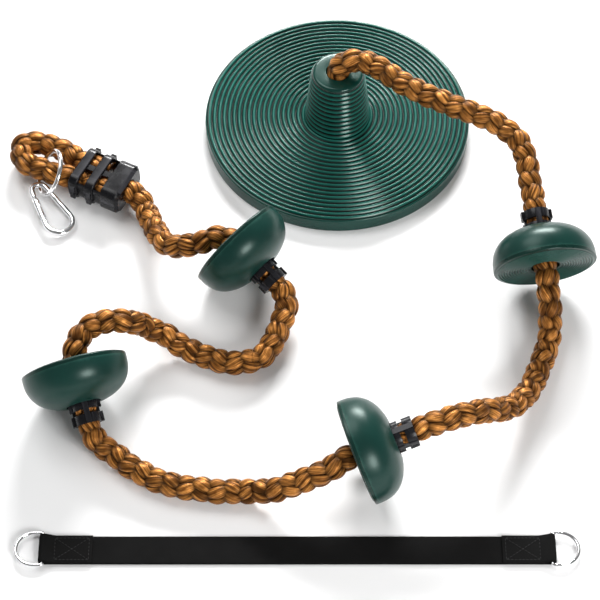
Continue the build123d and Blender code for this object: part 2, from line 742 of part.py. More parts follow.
def gate_spring():
    """Return spring in the gate's bore, behind the hinge tongue."""
    helix = Wire(Edge.make_helix(pitch=SPRING_PITCH, height=SPRING_LENGTH, radius=SPRING_R))
    start = Plane(helix @ 0, z_dir=helix % 0)
    coil = sweep(start * Circle(SPRING_WIRE_R), path=helix, is_frenet=True)
    return leg_plane(GATE_FROM) * Pos(GATE_SLOT_DEPTH + SPRING_PLAY, 0, 0) * Rot(0, 90, 0) * coil


def in_hook_frame(shape):
    return hook_plane() * shape


# Hanging strap


def band_line(start, end):
    """A strip of webbing seen from its edge, drawn along a straight line."""
    along = (end - start).normalized()
    side = Vector(-along.Y, along.X) * (STRAP_THICK / 2)
    return make_face(Polyline(start + side, end + side, end - side, start - side, close=True))


def webbing_half(outward):
    """One half of the strap: along the ground, round the D-ring's bar and back over itself."""
    middle = (STRAP_LEFT_X + STRAP_RIGHT_X) / 2
    bar = bar_place(outward)
    half = STRAP_THICK / 2
    slope = math.radians(EYE_SLOPE)
    leave_way = Vector(-outward * math.sin(slope), math.cos(slope))
    leave = bar + leave_way * (EYE_R + half)
    lap_z = 3 * half
    meet = Vector(leave.X - outward * (leave.Y - lap_z) / math.tan(slope), lap_z)
    lap_end = Vector(bar.X - outward * STRAP_SEWN, lap_z)
    profile = band_line(Vector(middle + outward * FOLD_GAP, half), Vector(bar.X, half))
    profile += band_line(leave, meet)
    profile += band_line(meet, lap_end)
    profile += Pos(meet.X, meet.Y) * Circle(half)
    profile += eye_band(bar, outward, leave_way)
    side_y = STRAP_Y + STRAP_WIDTH / 2
    side_plane = Plane(origin=(0, side_y, 0), x_dir=(1, 0, 0), z_dir=(0, -1, 0))
    return extrude(side_plane * profile, amount=STRAP_WIDTH)


def eye_band(bar, outward, leave_way):
    """The webbing round the bar: its outer half turn, and on over the top to where it leaves."""
    reach = 4 * (EYE_R + STRAP_THICK)
    ring = Circle(EYE_R + STRAP_THICK) - Circle(EYE_R)
    inner_side = Pos(-outward * reach / 2, 0) * Rectangle(reach, reach)
    over_top = make_face(Polyline((0, 0), (0, reach), leave_way * reach, close=True))
    return Pos(bar.X, bar.Y) * ((ring - inner_side) + (ring & over_top))


def bar_place(outward):
    """Centre of a D-ring's bar, as distance along X and height."""
    end_x = STRAP_RIGHT_X if outward > 0 else STRAP_LEFT_X
    return Vector(end_x - outward * (EYE_R + STRAP_THICK), STRAP_THICK + EYE_R)


def d_ring(outward):
    """Bent wire: a straight bar through the strap's eye, two short arms and a half circle."""
    bar = bar_place(outward)
    low_corner = Vector(0, D_CORNER_R - D_ARC_R)
    low_arm = Vector(D_CORNER_R, -D_ARC_R)
    low_end = Vector(D_ARM, -D_ARC_R)
    tip = Vector(D_ARM + D_ARC_R, 0)
    high_end = Vector(D_ARM, D_ARC_R)
    high_arm = Vector(D_CORNER_R, D_ARC_R)
    high_corner = Vector(0, D_ARC_R - D_CORNER_R)
    edges = [
        Edge.make_line(high_corner, low_corner),
        Edge.make_tangent_arc(low_corner, Vector(0, -1), low_arm),
        Edge.make_line(low_arm, low_end),
        Edge.make_three_point_arc(low_end, tip, high_end),
        Edge.make_line(high_end, high_arm),
        Edge.make_tangent_arc(high_arm, Vector(-1, 0), high_corner),
    ]
    wire = sweep(Plane(high_corner, z_dir=(0, -1, 0)) * Circle(D_WIRE_R), path=Wire(edges))
    if outward < 0:
        wire = Rot(0, 0, 180) * wire
    return Pos(bar.X, STRAP_Y, bar.Y) * wire


# Assembly


def platform_plane(frame, distance=0.0):
    """Z along the platform's axis, X level."""
    level = Vector(0, 0, 1).cross(frame.along).normalized()
    return Plane(frame.place + frame.along * distance, x_dir=level, z_dir=frame.along)


def add_platforms(nodes):
    dome = platform_dome()
    tread = platform_tread()
    front, back = clip_halves()
    for number, frame in enumerate(PLATFORMS, start=1):
        nodes[f"platform_{number}_dome"] = platform_plane(frame) * dome
        nodes[f"platform_{number}_tread"] = platform_plane(frame) * tread
        nodes[f"clip_{number}_front"] = platform_plane(frame, CLIP_START) * front
        nodes[f"clip_{number}_back"] = platform_plane(frame, CLIP_START) * back


def add_seat(nodes):
    front, back = clip_halves()
    nodes["seat_disc"] = seat_disc()
    nodes["hub_washer"] = hub_washer()
    nodes["seat_clip_front"] = Pos(0, 0, STOPPER_Z) * front
    nodes["seat_clip_back"] = Pos(0, 0, STOPPER_Z) * back


def add_clamp(nodes):
    side = Vector(0, 0, 1).cross(CLAMP.along)
    plane = Plane(CLAMP.place, x_dir=CLAMP.along, z_dir=CLAMP.along.cross(side))
    nodes["end_clamp_top"] = plane * clamp_half(1)
    nodes["end_clamp_bottom"] = plane * clamp_half(-1)


def add_carabiner(nodes):
    nodes["hanging_ring"] = hanging_ring()
    nodes["carabiner_body"] = in_hook_frame(carabiner_body())
    nodes["carabiner_gate"] = in_hook_frame(carabiner_gate())
    nodes["carabiner_gate_pin"] = in_hook_frame(cross_pin(GATE_FROM, GATE_PIN_R))
    nodes["carabiner_latch_pin"] = in_hook_frame(cross_pin(GATE_TO, LATCH_PIN_R))
    nodes["carabiner_gate_spring"] = in_hook_frame(gate_spring())


def add_strap(nodes):
    for side, outward in (("left", -1), ("right", 1)):
        nodes[f"strap_webbing_{side}"] = webbing_half(outward)
        nodes[f"d_ring_{side}"] = d_ring(outward)


def main():
    os.makedirs("parts", exist_ok=True)
    nodes = rope_nodes()
    add_seat(nodes)
    add_platforms(nodes)
    add_clamp(nodes)
    add_carabiner(nodes)
    add_strap(nodes)
    for name, shape in nodes.items():
        export_step(shape, f"parts/{name}.step")


main()
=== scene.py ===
import json
import math
import bpy
import numpy as np
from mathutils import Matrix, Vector
from mathutils.bvhtree import BVHTree


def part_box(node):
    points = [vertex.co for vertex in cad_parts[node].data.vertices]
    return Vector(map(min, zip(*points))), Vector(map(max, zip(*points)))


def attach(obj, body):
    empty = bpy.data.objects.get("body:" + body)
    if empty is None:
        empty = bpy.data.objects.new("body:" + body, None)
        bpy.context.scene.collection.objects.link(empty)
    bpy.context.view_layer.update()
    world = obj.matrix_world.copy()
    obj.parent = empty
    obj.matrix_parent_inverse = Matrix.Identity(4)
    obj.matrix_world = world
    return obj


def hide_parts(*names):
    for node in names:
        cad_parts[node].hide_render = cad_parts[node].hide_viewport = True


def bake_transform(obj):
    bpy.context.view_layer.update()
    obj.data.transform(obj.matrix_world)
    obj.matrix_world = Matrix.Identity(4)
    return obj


# Looks for the climbing-rope swing: a braided rope, moulded plastic, plated metal and a webbing
# strap, built round the fixed CAD frame. Metres, in the CAD's own frame.

MM = 0.001

# Braid: ten strands, five each way round, each going over one strand and under the next
STRANDS_EACH_WAY = 5
BRAID_PITCH = 160 * MM
BRAID_MEAN_R = 7.5 * MM
BRAID_WAVE = 2.1 * MM
STRAND_HALF_WIDTH = 4.8 * MM
STRAND_HALF_THICK = 3.0 * MM
STRAND_SWELL = 0.2
STRAND_YARNS = 5
STRAND_YARN_DEPTH = 0.1
STRAND_YARN_TWIST = 2 * math.pi / (70 * MM)
STRAND_SIDES = 18
FIBRE_SHIFT = 0.37
CORE_R = 6.2 * MM
# GROOVE_R and CREST_R set the height that the rope's painted groove shade follows: 0 at GROOVE_R, 1
# at CREST_R
GROOVE_R = 7.0 * MM
CREST_R = 12.8 * MM
RING_STEP = 1.7 * MM
CLIP_SQUEEZE = 0.9
CLIP_SQUEEZE_EASE = 9 * MM

# Rope route, read from the CAD's plain round rope
WALK_STEP = 4 * MM
WALK_NEAR = 0.2 * MM
WALK_RAYS = 16
WALK_CENTRINGS = 3
PAST_CAP = 16 * MM
ROUTE_SOFTENING = 4
CLIP_HALF_LENGTH = 12.5 * MM
CLAMP_CUT_FROM_CENTRE = 20 * MM
ROPE_NODES = [
    "rope_at_seat",
    "rope_at_platform_1",
    "rope_at_platform_2",
    "rope_between_2_and_3",
    "rope_at_platform_3",
    "rope_between_3_and_4",
    "rope_at_platform_4",
    "rope_loop",
]
BENDS = [
    "rope_bend_1",
    "rope_bend_2",
    "rope_bend_3",
    "rope_turn_1",
    "rope_turn_2",
    "rope_bend_4",
    "rope_bend_5",
]
CLIPS = ["seat_clip", "clip_1", "clip_2", "clip_3", "clip_4"]

# Turned green pieces, with finer ridges than the CAD's: millimetres, radius then height
RIDGE_STEPS = 8
RIDGE_SPARE = 1.1
# PLAIN_CREST is the crest value given to plain parts, so they take part of the painted valley shade
PLAIN_CREST = 0.4
CORNER_STEPS = 6
SMALL_ROUNDING = 0.3
BORE_FOOT_ROUNDING = 0.4
BORE_MOUTH_ROUNDING = 0.8
SEAT_SIDES = 256
SEAT_BORE_R = 13.1
HUB_TOP = (28.5, 96.0)
HUB_TOP_ROUNDING = 4.0
HUB_BASE = (36.0, 21.0)
HUB_ROOF_Z = 90.0
HUB_SIDE = (HUB_TOP[0], HUB_TOP[1] - HUB_TOP_ROUNDING)
HUB_RIDGES = 11
HUB_RIDGE_HEIGHT = 1.8
HUB_WALL = 4.0
HUB_ROOF_ROUNDING = 1.0
HUB_FOOT_ROUNDING = 1.5
SEAT_RIM = (150.0, 17.0)
SEAT_RIM_ROUNDING = 2.0
RIM_START = (SEAT_RIM[0] - SEAT_RIM_ROUNDING, SEAT_RIM[1])
RIM_ROUNDING_SHARE = 0.99
SKIRT_FOOT_ROUNDING = 0.6
SKIRT_TOP_ROUNDING = 1.0
SEAT_RIDGES = 20
SEAT_RIDGE_HEIGHT = 2.3
SEAT_WALL = 4.0
SEAT_RIBS = (104.0, 62.0)
SEAT_SPOKES = 8
SPOKE_OVERLAP = 1.0
RIB_THICK = 3.0
RIB_BOTTOM_Z = 2.0
RIB_EDGE = 0.5
TREAD_SIDES = 192
TREAD_R = 55.5
TREAD_RIM_ROUNDING = 1.4
TREAD_BORE_R = 15.5
TREAD_RIDGES = 12
TREAD_RIDGE_HEIGHT = 1.2
TREAD_BORDER = 3.0
TREAD_FIRST = (TREAD_BORE_R + TREAD_BORDER, 0.0)
TREAD_LAST = (TREAD_R - TREAD_BORDER, 0.0)
TREAD_THICK = 4.0
TREAD_LIP = (49.2, 51.7)
TREAD_LIP_DEPTH = 9.0
TREAD_LIP_ROUNDING = 0.5

# Rounded edges added to the pieces that keep their CAD shape
CLIP_BEVEL = 0.25 * MM
CLAMP_BEVEL = 0.9 * MM
WASHER_BEVEL = 0.2 * MM
BEVEL_SEGMENTS = 3
BEVEL_ANGLE = 35
WELD_GAP = 0.002 * MM

# Melted plug on the rope's cut ends
SEAL_R = 11.5 * MM
SEAL_THICK = 3.0 * MM
SEAL_RINGS = 14
SEAL_SIDES = 48
SEAL_END_SHARE = 0.02
SEAL_LUMPS = 0.035
SEAL_SKEWED_LUMPS = 0.02

# Webbing strap
STRAP_THICK = 2.2 * MM
STRAP_SEWN = 50 * MM
STRAP_SOFTENING = 2
STRAP_EDGE_THINNING = 0.45
STRAP_EDGE_POWER = 12
EYE_SLOPE = 20.0
EYE_STEPS = 40
WEAVE_STEP = 0.65 * MM
WEAVE_PITCH = 2.6 * MM
WEAVE_COLUMNS = 16
WEAVE_DEPTH = 0.12 * MM
WEAVE_SIDE_SHIFT = 0.01
SEAM_FROM_BAR = 12 * MM
SEAM_INSET = 3.5 * MM
STITCH_PITCH = 4.0 * MM
STITCH_LENGTH = 3.2 * MM
THREAD_R = 0.4 * MM
THREAD_RINGS = 7
THREAD_SIDES = 8
THREAD_RISE = 1.1
THREAD_SINK = 0.75
THREAD_TIP = 0.45

# Camera, floor and surround; the wall's height is the upward part of the way to it, 0 to 1
CAMERA_PLACE = (-0.0423, -1.7604, 2.1120)
CAMERA_DOWN = 54.323
CAMERA_LENS = 143.73
CAMERA_SENSOR = 36
CAMERA_REACH = 50
FLOOR_Z = -0.5 * MM
FLOOR_REACH = 6.0
WALL_LOW = 0.36
WALL_LOW_TILL = 0.05
WALL_HIGH = 0.2
WALL_HIGH_FROM = 0.5

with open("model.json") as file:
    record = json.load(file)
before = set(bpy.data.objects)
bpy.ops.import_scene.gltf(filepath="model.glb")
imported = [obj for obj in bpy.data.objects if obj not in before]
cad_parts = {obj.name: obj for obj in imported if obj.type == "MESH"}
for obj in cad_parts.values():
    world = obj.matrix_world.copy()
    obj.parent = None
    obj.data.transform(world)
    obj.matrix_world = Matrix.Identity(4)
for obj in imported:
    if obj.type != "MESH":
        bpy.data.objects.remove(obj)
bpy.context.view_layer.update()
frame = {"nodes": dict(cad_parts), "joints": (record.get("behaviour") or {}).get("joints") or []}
joints = {joint["name"]: joint for joint in frame["joints"]}


# Small helpers


def pivot(joint):
    return Vector(joints[joint]["pos_m"])


def axis(joint):
    return Vector(joints[joint]["axis"]).normalized()


def new_object(name, points, faces, material):
    """A smooth-shaded mesh object from points (n by 3) and faces, each a row of point numbers."""
    mesh = bpy.data.meshes.new(name)
    faces = [tuple(int(i) for i in face) for face in faces]
    mesh.from_pydata([tuple(map(float, p)) for p in points], [], faces)
    mesh.validate()
    mesh.polygons.foreach_set("use_smooth", [True] * len(mesh.polygons))
    mesh.materials.append(material)
    obj = bpy.data.objects.new(name, mesh)
    bpy.context.scene.collection.objects.link(obj)
    return obj


def set_attribute(obj, name, values, kind):
    """Stores a value (kind FLOAT) or a vector (kind FLOAT_VECTOR) at each vertex."""
    attribute = obj.data.attributes.new(name, kind, "POINT")
    key = "value" if kind == "FLOAT" else "vector"
    attribute.data.foreach_set(key, np.asarray(values, np.float32).ravel())


def tube_faces(rings, sides, first=0):
    """Quads between neighbouring rings of points, each ring closed on itself."""
    ring = np.arange(rings - 1)[:, None] * sides
    side = np.arange(sides)[None, :]
    after = (side + 1) % sides
    corners = [ring + side, ring + after, ring + sides + after, ring + sides + side]
    return np.stack([c.ravel() for c in corners], axis=1) + first


def closed_tube_faces(rings, sides, first=0):
    """A tube's quads, then one face over each of its ends."""
    last = first + (rings - 1) * sides
    start_cap = tuple(range(first + sides - 1, first - 1, -1))
    end_cap = tuple(range(last, last + sides))
    return [*tube_faces(rings, sides, first), start_cap, end_cap]


def rgb(r, g, b):
    return (r, g, b, 1.0)


# Colours, as linear red, green and blue

ROPE_GOLD = rgb(0.95, 0.41, 0.10)
ROPE_BROWN = rgb(0.20, 0.058, 0.008)
ROPE_DARK = rgb(0.045, 0.013, 0.002)
ROPE_PATCH = rgb(0.10, 0.030, 0.005)
# Painted shade: the near-black the rope takes deep down between its strands
ROPE_GROOVE_SHADE = rgb(0.006, 0.0015, 0.0004)
ROPE_SHEEN = rgb(1.0, 0.62, 0.3)
GREEN_WORN = rgb(0.04, 0.14, 0.11)
# Painted shade: the near-black painted into the valleys between ridges
GREEN_VALLEY_SHADE = rgb(0.0005, 0.004, 0.003)
GREEN_SHEEN = rgb(0.8, 1.0, 0.93)
DOME_GREENS = (rgb(0.004, 0.030, 0.024), rgb(0.006, 0.040, 0.032))
# Painted light: the seat's greens are the dome green made brighter and more saturated, standing in
# for the back light and the light bouncing between its ridges
SEAT_GREENS_LIT = (rgb(0.004, 0.090, 0.069), rgb(0.006, 0.120, 0.093))
TREAD_GREENS = (rgb(0.004, 0.050, 0.038), rgb(0.006, 0.065, 0.050))
BLACK_DEEP = rgb(0.003, 0.003, 0.004)
BLACK_LIGHT = rgb(0.007, 0.007, 0.009)
BLACK_WORN = rgb(0.07, 0.07, 0.08)
WEBBING_DEEP = rgb(0.002, 0.002, 0.002)
WEBBING_LIGHT = rgb(0.004, 0.004, 0.004)
# Painted sheen on the raised yarns of the webbing
WEBBING_PAINTED_SHEEN = rgb(0.011, 0.011, 0.011)
THREAD_DEEP = rgb(0.008, 0.008, 0.008)
THREAD_LIGHT = rgb(0.03, 0.03, 0.031)
MELTED_DEEP = rgb(0.05, 0.02, 0.006)
MELTED_LIGHT = rgb(0.16, 0.065, 0.016)
CHROME = rgb(0.88, 0.88, 0.89)
ZINC = rgb(0.55, 0.55, 0.54)
SPRING_STEEL = rgb(0.45, 0.45, 0.46)
FLOOR_PALE = rgb(0.96, 0.96, 0.96)
BACKDROP_PALE = rgb(0.93, 0.93, 0.93)
WALL_WHITE = rgb(1.0, 1.0, 1.0)


# Materials


class Shader:
    """Builds one node material; each call adds a node and returns its main output."""

    def __init__(self, name):
        self.material = bpy.data.materials.new(name)
        self.material.use_nodes = True
        self.nodes = self.material.node_tree.nodes
        self.links = self.material.node_tree.links
        self.nodes.clear()
        self.out = self.nodes.new("ShaderNodeOutputMaterial")
        self.surface = self.nodes.new("ShaderNodeBsdfPrincipled")
        self.links.new(self.surface.outputs[0], self.out.inputs["Surface"])

    def put(self, target, value):
        """Links a node's output to an input, or sets the input to a plain value."""
        if hasattr(value, "is_output"):
            self.links.new(value, target)
        else:
            target.default_value = value

    def set(self, **values):
        """Fills the surface's inputs, named as in Blender but in lower case with underscores."""
        for key, value in values.items():
            name = key.replace("_", " ").title().replace("Ior", "IOR")
            self.put(self.surface.inputs[name], value)

    def object_point(self):
        return self.nodes.new("ShaderNodeTexCoord").outputs["Object"]

    def attribute(self, name, output):
        node = self.nodes.new("ShaderNodeAttribute")
        node.attribute_name = name
        return node.outputs[output]

    def mapped(self, vector, scale):
        node = self.nodes.new("ShaderNodeMapping")
        self.put(node.inputs["Vector"], vector)
        node.inputs["Scale"].default_value = scale
        return node.outputs[0]

    def noise(self, vector, scale, detail=3.0, rough=0.55):
        node = self.nodes.new("ShaderNodeTexNoise")
        self.put(node.inputs["Vector"], vector)
        node.inputs["Scale"].default_value = scale
        node.inputs["Detail"].default_value = detail
        node.inputs["Roughness"].default_value = rough
        return node.outputs["Fac"]

    def spread(self, value, low, high, to_low=0.0, to_high=1.0):
        """The value mapped from low..high to to_low..to_high, and held within them."""
        node = self.nodes.new("ShaderNodeMapRange")
        self.put(node.inputs["Value"], value)
        node.inputs["From Min"].default_value = low
        node.inputs["From Max"].default_value = high
        node.inputs["To Min"].default_value = to_low
        node.inputs["To Max"].default_value = to_high
        return node.outputs[0]

    def maths(self, operation, first, second):
        node = self.nodes.new("ShaderNodeMath")
        node.operation = operation
        self.put(node.inputs[0], first)
        self.put(node.inputs[1], second)
        return node.outputs[0]

    def mix(self, share, first, second):
        """The first colour where share is 0, the second where it is 1."""
        node = self.nodes.new("ShaderNodeMix")
        node.data_type = "RGBA"
        self.put(node.inputs["Factor"], share)
        self.put(node.inputs[6], first)
        self.put(node.inputs[7], second)
        return node.outputs[2]

    def edge_wear(self, most):
        """The share of wear: most on sharp convex edges, 0 elsewhere."""
        pointiness = self.nodes.new("ShaderNodeNewGeometry").outputs["Pointiness"]
        return self.maths("MULTIPLY", self.spread(pointiness, 0.52, 0.6), most)

    def bump(self, height, strength, distance, normal=None):
        node = self.nodes.new("ShaderNodeBump")
        self.put(node.inputs["Height"], height)
        node.inputs["Strength"].default_value = strength
        node.inputs["Distance"].default_value = distance
        if normal is not None:
            self.put(node.inputs["Normal"], normal)
        return node.outputs[0]


def rope_material():
    """Glossy multifilament yarn: fine fibres along each strand, with shade painted in deep down in
    the braid.
    """
    s = Shader("braided_rope")
    fibre = s.attribute("fibre", "Vector")
    height = s.attribute("height", "Fac")
    streaks = s.noise(s.mapped(fibre, (1.0, 1.0, 0.045)), 1500, 4.0, 0.65)
    bundles = s.noise(s.mapped(fibre, (1.0, 1.0, 0.06)), 340, 2.0)
    patches = s.noise(s.object_point(), 75, 2.0)
    golden = s.mix(s.spread(streaks, 0.38, 0.62), ROPE_BROWN, ROPE_GOLD)
    shaded = s.mix(s.spread(bundles, 0.42, 0.6, 0.0, 0.9), golden, ROPE_DARK)
    warm = s.mix(s.spread(patches, 0.4, 0.65, 0.0, 0.5), shaded, ROPE_PATCH)
    # Painted shade: the colour goes to the groove shade deep between the strands, following the
    # height attribute
    out_of_groove_shade = s.maths("POWER", s.spread(height, 0.42, 1.0), 1.4)
    colour = s.mix(out_of_groove_shade, ROPE_GROOVE_SHADE, warm)
    fibres = s.bump(streaks, 0.8, 0.5 * MM)
    s.set(
        base_color=colour,
        roughness=s.spread(bundles, 0.3, 0.7, 0.28, 0.46),
        normal=s.bump(bundles, 0.5, 0.7 * MM, fibres),
        metallic=0.3,
        specular_ior_level=0.35,
        specular_tint=ROPE_SHEEN,
    )
    return s.material


def green_plastic(name, greens, roughness, specular, ridged=False):
    """Dark green satin plastic, lighter on worn edges and, where ridged, with shade painted between
    the ridges.
    """
    s = Shader(name)
    point = s.object_point()
    cloud = s.noise(point, 14, 3.0)
    grain = s.noise(point, 900, 3.0)
    base = s.mix(s.spread(cloud, 0.35, 0.65), *greens)
    colour = s.mix(s.edge_wear(0.35), base, GREEN_WORN)
    if ridged:
        # Painted shade: valleys between ridges go towards near-black by the crest attribute; plain
        # parts take part of it
        out_of_valley_shade = s.spread(s.attribute("crest", "Fac"), 0.15, 0.9)
        colour = s.mix(out_of_valley_shade, GREEN_VALLEY_SHADE, colour)
    s.set(
        base_color=colour,
        roughness=s.spread(cloud, 0.3, 0.7, roughness, roughness + 0.07),
        normal=s.bump(grain, 0.1, 0.12 * MM),
        specular_ior_level=specular,
        specular_tint=GREEN_SHEEN,
    )
    return s.material


def black_plastic():
    s = Shader("black_plastic")
    point = s.object_point()
    cloud = s.noise(point, 60, 2.0)
    grain = s.noise(point, 1500, 3.0)
    base = s.mix(s.spread(cloud, 0.35, 0.7), BLACK_DEEP, BLACK_LIGHT)
    colour = s.mix(s.edge_wear(0.5), base, BLACK_WORN)
    s.set(
        base_color=colour,
        roughness=s.spread(cloud, 0.3, 0.7, 0.22, 0.32),
        normal=s.bump(grain, 0.15, 0.12 * MM),
        specular_ior_level=0.26,
    )
    return s.material


def metal(name, colour, low_rough, high_rough, brushed=False):
    s = Shader(name)
    point = s.object_point()
    cloud = s.noise(point, 120, 3.0)
    scratches = s.noise(s.mapped(point, (1.0, 0.08, 1.0)), 2500, 2.0)
    s.set(
        base_color=colour,
        metallic=1.0,
        roughness=s.spread(cloud, 0.3, 0.7, low_rough, high_rough),
        normal=s.bump(scratches, 0.25 if brushed else 0.04, 0.08 * MM),
    )
    return s.material


def webbing_material():
    """Black polyester webbing over fine yarns, with a soft sheen painted on the raised yarns."""
    s = Shader("black_webbing")
    weave = s.attribute("weave", "Vector")
    height = s.attribute("height", "Fac")
    fuzz = s.noise(weave, 3200, 3.0)
    patches = s.noise(weave, 60, 2.0)
    base = s.mix(s.spread(patches, 0.3, 0.7), WEBBING_DEEP, WEBBING_LIGHT)
    # Painted sheen: the raised yarns are painted lighter, following the height attribute
    colour = s.mix(s.spread(height, 0.0, 1.0, 0.0, 0.5), base, WEBBING_PAINTED_SHEEN)
    s.set(
        base_color=colour,
        roughness=0.8,
        normal=s.bump(fuzz, 0.35, 0.1 * MM),
        specular_ior_level=0.08,
    )
    return s.material


def thread_material():
    s = Shader("stitching_thread")
    twist = s.noise(s.object_point(), 2200, 2.0)
    s.set(
        base_color=s.mix(twist, THREAD_DEEP, THREAD_LIGHT),
        roughness=0.6,
        normal=s.bump(twist, 0.4, 0.1 * MM),
        specular_ior_level=0.25,
    )
    return s.material


def melted_rope_material():
    """The rope's cut end, sealed by heat: dark, hard and glossy."""
    s = Shader("melted_rope_end")
    lumps = s.noise(s.object_point(), 350, 3.0)
    s.set(
        base_color=s.mix(lumps, MELTED_DEEP, MELTED_LIGHT),
        roughness=0.3,
        normal=s.bump(lumps, 0.6, 0.6 * MM),
    )
    return s.material


# Rope route


def surface_tree(node):
    mesh = frame["nodes"][node].data
    points = [v.co.copy() for v in mesh.vertices]
    return BVHTree.FromPolygons(points, [tuple(p.vertices) for p in mesh.polygons])


def section(tree, inside, way):
    """Centre and radius of the tube's cross-section square to the way there."""
    side = way.orthogonal().normalized()
    up = way.cross(side)
    middle = inside.copy()
    for _ in range(WALK_CENTRINGS):
        hits = []
        radius = 0.0
        for index in range(WALK_RAYS):
            turn = 2 * math.pi * index / WALK_RAYS
            ray = side * math.cos(turn) + up * math.sin(turn)
            hit, _, _, distance = tree.ray_cast(middle, ray)
            hits.append(hit)
            radius += distance / WALK_RAYS
        middle = sum(hits, Vector()) / WALK_RAYS
    return middle, radius


def tube_route(tree, start, way, radius, flat_end):
    """Centres of a tube from start to its far end, where it is rounded or cut flat."""
    route = [start]
    here = start
    ahead = tree.ray_cast(here, way)[3]
    while ahead > radius + WALK_NEAR:
        nearer, _ = section(tree, here + way * min(WALK_STEP, ahead - radius), way)
        way = (nearer - here).normalized()
        here = nearer
        route.append(here)
        ahead = tree.ray_cast(here, way)[3]
    if flat_end:
        route.append(here + way * ahead)
    return route


def node_route(node, from_joint, flat_end=False):
    """Walks a rope node from the bend at one end to its other end."""
    start = pivot(from_joint)
    tree = surface_tree(node)
    cap = tree.find_nearest(start)[0]
    way = (cap - start).normalized()
    _, radius = section(tree, cap + way * PAST_CAP, way)
    return [start] + tube_route(tree, cap + way * radius, way, radius, flat_end)


def rope_route():
    """The whole rope's centre line, from its cut end in the hub to its tail in the clamp."""
    whole = node_route(ROPE_NODES[0], BENDS[0], flat_end=True)[::-1]
    for node, bend in zip(ROPE_NODES[1:], BENDS):
        whole += node_route(node, bend, flat_end=node == ROPE_NODES[-1])[1:]
    return np.array([tuple(point) for point in whole])


def evenly_spaced(points, step):
    """Points a step apart along a line through the given ones."""
    along = np.concatenate([[0], np.cumsum(np.linalg.norm(np.diff(points, axis=0), axis=1))])
    count = int(round(along[-1] / step)) + 1
    stops = np.linspace(0, along[-1], count)
    return np.stack([np.interp(stops, along, points[:, k]) for k in range(3)], axis=1)


def softened(points, reach):
    """The line with its small kinks averaged out over a few samples each way."""
    padded = np.concatenate([
        2 * points[0] - points[reach:0:-1],
        points,
        2 * points[-1] - points[-2:-reach - 2:-1],
    ])
    weights = np.hanning(2 * reach + 3)[1:-1]
    weights /= weights.sum()
    return np.stack([np.convolve(padded[:, k], weights, "valid") for k in range(3)], axis=1)


def smooth_line(points, step, reach):
    """The line through the points, softened, with its own points a step apart."""
    return evenly_spaced(softened(evenly_spaced(points, step), reach), step)


def unit(vectors):
    return vectors / np.linalg.norm(vectors, axis=1, keepdims=True)


def untwisted_frames(points):
    """Tangents and two square directions that turn no more than they must along the line."""
    tangents = unit(np.gradient(points, axis=0))
    sides = np.zeros_like(points)
    side = np.cross(tangents[0], (0.0, 1.0, 0.0))
    for index, tangent in enumerate(tangents):
        side = side - tangent * side.dot(tangent)
        side /= np.linalg.norm(side)
        sides[index] = side
    return tangents, sides, np.cross(tangents, sides)


class Route:
    """The rope's centre line with its frames, and how far along it each point lies."""

    def __init__(self):
        self.points = smooth_line(rope_route(), RING_STEP, ROUTE_SOFTENING)
        self.tangents, self.sides, self.ups = untwisted_frames(self.points)
        steps = np.linalg.norm(np.diff(self.points, axis=0), axis=1)
        self.along = np.concatenate([[0], np.cumsum(steps)])

    def nearest(self, point):
        """Index of the route's point nearest to this one."""
        return int(np.argmin(np.linalg.norm(self.points - np.array(point), axis=1)))


# Braid


def pair_centre(*nodes):
    """Centre of the box round several nodes."""
    lows, highs = zip(*(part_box(node) for node in nodes))
    low = Vector([min(values) for values in zip(*lows)])
    high = Vector([max(values) for values in zip(*highs)])
    return (low + high) / 2


def clip_centre(clip):
    return pair_centre(f"{clip}_front", f"{clip}_back")


def smooth_step(values):
    share = np.clip(values, 0, 1)
    return share * share * (3 - 2 * share)


def clip_squeeze(route):
    """How much the braid is squeezed at each point: CLIP_SQUEEZE inside a clip, 1 away from it."""
    scale = np.ones(len(route.points))
    for clip in CLIPS:
        middle = route.along[route.nearest(clip_centre(clip))]
        beyond = np.abs(route.along - middle) - CLIP_HALF_LENGTH
        inside = smooth_step(1 - beyond / CLIP_SQUEEZE_EASE)
        scale = np.minimum(scale, 1 - (1 - CLIP_SQUEEZE) * inside)
    return scale


def strand_centre(route, squeeze, hand, index):
    """A strand's centre line, the way out from the rope's middle, and its rise over the others."""
    turn = hand * 2 * math.pi * route.along / BRAID_PITCH + index * 2 * math.pi / STRANDS_EACH_WAY
    wave = hand * np.cos(2 * math.pi * STRANDS_EACH_WAY * route.along / BRAID_PITCH)
    out = np.cos(turn)[:, None] * route.sides + np.sin(turn)[:, None] * route.ups
    reach = (BRAID_MEAN_R + BRAID_WAVE * wave) * squeeze
    return route.points + out * reach[:, None], out, wave


